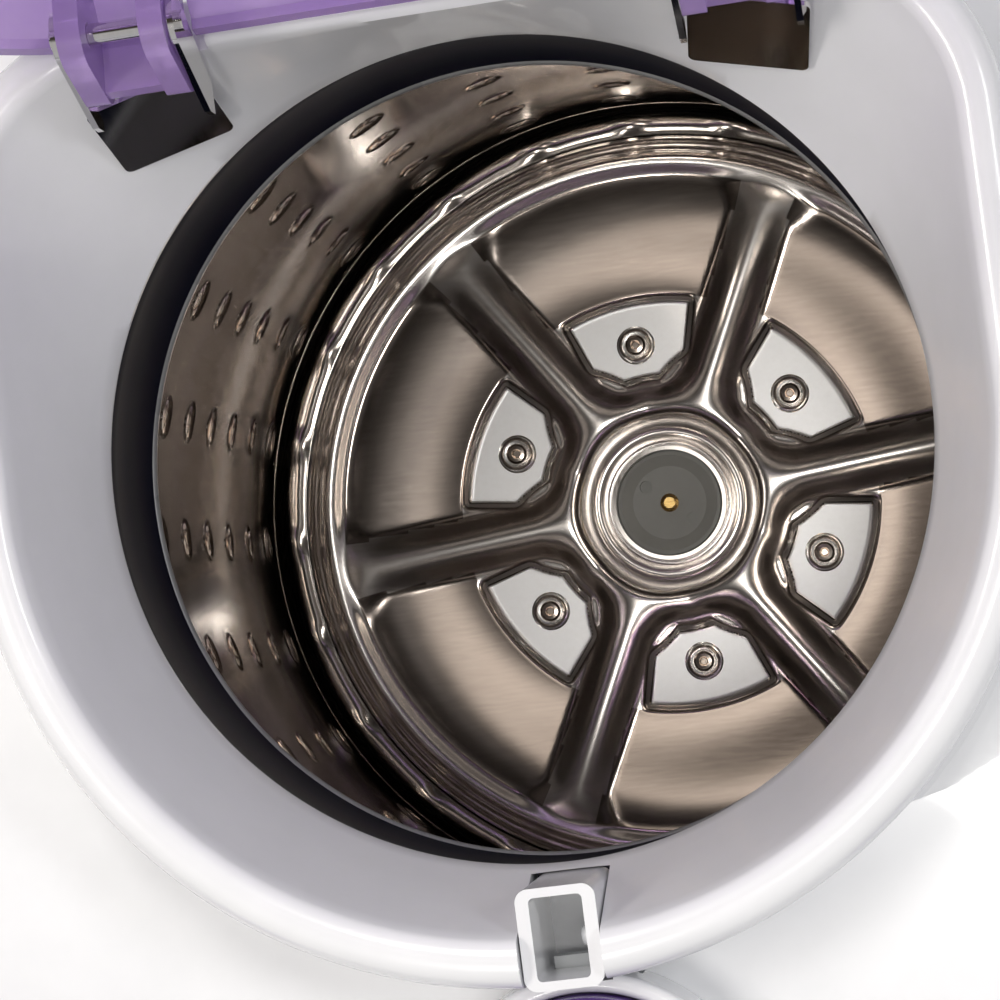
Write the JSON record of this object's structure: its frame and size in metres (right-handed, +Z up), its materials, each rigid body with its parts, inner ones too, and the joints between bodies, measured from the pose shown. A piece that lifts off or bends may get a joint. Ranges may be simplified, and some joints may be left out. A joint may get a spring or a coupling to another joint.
{
  "type": "top load washing machine",
  "caption": "Compact upright washing machine loaded from above: round perforated steel drum in a suspended tub, belt drive, D-shaped rim, hinged translucent lid and push-button latch.",
  "frame": {"origin": "centre of the footprint on the floor, under the drum's axis", "axes": "+Z up along the drum's axis, -Y towards the front with the release button and dials, +Y towards the lid's hinge and the outlets, +X to the right seen from the front"},
  "size_m": [0.38, 0.38, 0.8629],
  "materials": {
    "foot_rubber": "matt moulded rubber",
    "black_plastic": "fine moulded texture",
    "shell_white": "smooth white coat",
    "zinc_steel": "zinc plated sheet",
    "cover_white": "polished white moulding",
    "button_purple": "deep purple, polished",
    "spring_steel": "oiled spring wire",
    "inner_grey": "unpainted moulding",
    "lid_lilac": "translucent lilac, polished",
    "mirror_steel": "mirror-polished stainless steel",
    "cast_aluminium": "as cast",
    "bearing_steel": "ground",
    "seal_rubber": "smooth rubber",
    "motor_paint": "dark stoved paint",
    "stainless": "brushed and polished stainless sheet",
    "neck_dark": "dark, mirror-smooth",
    "cap_grey": "satin grey moulding",
    "screw_brass": "turned",
    "bolt_steel": "domed stainless heads"
  },
  "bodies": {
    "cabinet": {"feet": "foot_rubber", "base_pan": "black_plastic", "body_shell": "shell_white", "rear_cover": "zinc_steel", "rear_cover_screws": "zinc_steel", "top_cover": "cover_white", "front_panel": "cover_white", "latch_socket": "cover_white", "lid_switch": "black_plastic", "button_collar": "cover_white", "button_spring": "spring_steel", "hinge_brackets": "mirror_steel", "hinge_pins": "mirror_steel", "suspension_frame": "zinc_steel", "suspension_rods": "zinc_steel", "spring_cups": "inner_grey", "suspension_springs": "spring_steel", "drain_pump": "black_plastic", "drain_hose": "seal_rubber", "drain_spout": "black_plastic", "inlet_valve": "black_plastic", "cord_gland": "black_plastic", "capacitor": "inner_grey", "timer_switch": "black_plastic", "selector_switch": "black_plastic"},
    "lid": {"lid": "lid_lilac", "lid_catch": "cover_white"},
    "latch_button": {"latch_button": "button_purple"},
    "latch_hook": {"latch_hook": "inner_grey"},
    "interlock_pin": {"interlock_pin": "cover_white"},
    "tub": {"tub": "inner_grey", "tub_cover": "inner_grey", "bearing_housing": "cast_aluminium", "main_bearings": "bearing_steel", "shaft_seal": "seal_rubber", "motor_bracket": "zinc_steel", "motor_housing": "motor_paint", "drive_belt": "seal_rubber"},
    "drum": {"drum_wall": "stainless", "drum_floor": "stainless", "drum_neck": "neck_dark", "balance_ring": "inner_grey", "hub_spider": "cast_aluminium", "drive_shaft": "bearing_steel", "drive_pulley": "cast_aluminium", "pulley_nut": "zinc_steel", "hub_ring": "mirror_steel", "hub_cap": "cap_grey", "centre_screw": "screw_brass", "floor_bolts": "bolt_steel"},
    "motor_rotor": {"motor_shaft": "bearing_steel", "motor_pulley": "zinc_steel"},
    "timer_dial": {"timer_dial": "button_purple"},
    "selector_dial": {"selector_dial": "button_purple"}
  },
  "joints": [
    {"name": "lid_hinge", "type": "hinge", "parent": "cabinet", "child": "lid", "pos_m": [0, 0.082, 0.674], "axis": [1, 0, 0], "range_deg": [0, 102]},
    {"name": "interlock_slide", "type": "slide", "parent": "cabinet", "child": "interlock_pin", "axis": [1, 0, 0], "range_m": [0, 0.003]},
    {"name": "button_press", "type": "slide", "parent": "cabinet", "child": "latch_button", "axis": [0, 0, -1], "range_m": [0, 0.004], "stiffness_N_per_m": 500, "springref_m": -0.002, "deforming": ["button_spring"]},
    {"name": "hook_slide", "type": "slide", "parent": "cabinet", "child": "latch_hook", "axis": [0, -1, 0], "range_m": [0, 0.004]},
    {"name": "tub_bounce", "type": "slide", "parent": "cabinet", "child": "tub", "axis": [0, 0, 1], "range_m": [-0.005, 0.005], "stiffness_N_per_m": 12000, "springref_m": 0.00695, "deforming": ["suspension_springs", "drain_hose"]},
    {"name": "drum_spin", "type": "hinge", "parent": "tub", "child": "drum", "pos_m": [0, 0, 0.225], "axis": [0, 0, 1], "continuous": true},
    {"name": "motor_spin", "type": "hinge", "parent": "tub", "child": "motor_rotor", "pos_m": [-0.105, 0, 0.106], "axis": [0, 0, 1], "continuous": true},
    {"name": "timer_turn", "type": "hinge", "parent": "cabinet", "child": "timer_dial", "pos_m": [0.105, -0.14, 0.63], "axis": [0, 0, 1], "range_deg": [-300, 0]},
    {"name": "selector_turn", "type": "hinge", "parent": "cabinet", "child": "selector_dial", "pos_m": [-0.105, -0.14, 0.63], "axis": [0, 0, 1], "range_deg": [-60, 60]}
  ],
  "couplings": [
    {"joint": "hook_slide", "follows": "button_press", "ratio": 1},
    {"joint": "interlock_slide", "follows": "lid_hinge", "m_per_rad": 0.0016835},
    {"joint": "motor_spin", "follows": "drum_spin", "ratio": 2.7273}
  ]
}
